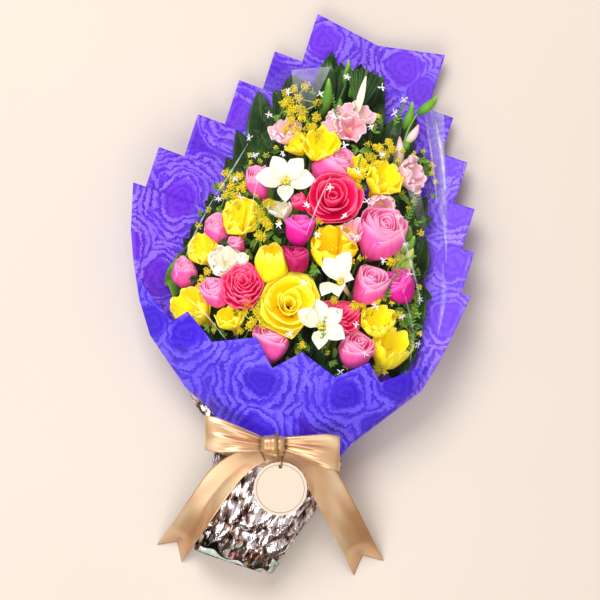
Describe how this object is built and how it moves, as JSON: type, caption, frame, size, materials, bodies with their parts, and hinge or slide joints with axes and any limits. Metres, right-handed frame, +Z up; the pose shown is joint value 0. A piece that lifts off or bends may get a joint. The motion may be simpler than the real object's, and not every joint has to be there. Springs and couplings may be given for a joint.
{
  "type": "flower bouquet",
  "caption": "Mixed cut flowers wrapped in stepped printed paper and clear film, with a foil base, satin bow and round tag, lying on its back.",
  "frame": {"origin": "On the ground under the middle of the back paper, 150 mm up from the tie.", "axes": "+X to the bouquet's right seen from the front, +Y from the stem ends to the flower tips, +Z up out of its front."},
  "size_m": [0.3401, 0.5439, 0.1213],
  "materials": {
    "paper": "printed, semi-matt",
    "film": "clear film",
    "foil": "crinkled, bright",
    "satin": "satin",
    "card": "matt",
    "cord": "metallic thread",
    "stem": "green stems",
    "leaf": "waxy leaf",
    "pink": "velvety petal",
    "crimson": "velvety petal",
    "magenta": "velvety petal",
    "yellow": "soft petal",
    "white": "soft petal",
    "blush": "soft petal",
    "golden": "small florets",
    "lime": "buds"
  },
  "bodies": {
    "root": {"paper_sheet_1": "paper", "paper_sheet_2": "paper", "paper_sheet_3": "paper", "paper_sheet_4": "paper", "paper_sheet_5": "paper", "paper_sheet_6": "paper", "paper_collar": "paper", "clear_film": "film", "foil_wrap": "foil", "ribbon_band": "satin", "bow_loop_left": "satin", "bow_loop_right": "satin", "bow_knot": "satin", "ribbon_tail_left": "satin", "ribbon_tail_right": "satin", "tag": "card", "tag_cord": "cord", "rose_pink_1": "pink", "rose_pink_2": "pink", "rose_crimson_1": "crimson", "rose_pink_3": "pink", "rose_magenta_1": "magenta", "rose_crimson_2": "crimson", "rose_pink_4": "pink", "rose_pink_5": "pink", "rose_pink_6": "pink", "rose_pink_7": "pink", "rose_pink_8": "pink", "rose_hotpink_1": "crimson", "rose_hotpink_2": "crimson", "rose_magenta_2": "magenta", "freesia_yellow_1": "yellow", "freesia_yellow_2": "yellow", "freesia_yellow_3": "yellow", "tulip_yellow": "yellow", "freesia_yellow_4": "yellow", "rose_yellow": "yellow", "freesia_yellow_5": "yellow", "freesia_yellow_6": "yellow", "freesia_white_1": "white", "freesia_white_2": "white", "freesia_white_3": "white", "freesia_white_4": "white", "freesia_blush_1": "blush", "freesia_blush_2": "blush", "freesia_blush_3": "blush", "goldenrod_1": "golden", "goldenrod_2": "golden", "goldenrod_3": "golden", "goldenrod_4": "golden", "goldenrod_5": "golden", "goldenrod_6": "golden", "goldenrod_7": "lime", "freesia_buds_green": "lime", "freesia_buds_pink": "blush", "freesia_buds_top": "lime", "stems": "stem", "leaves_top": "leaf", "leaves_right": "leaf", "leaves_left": "leaf"}
  },
  "joints": []
}
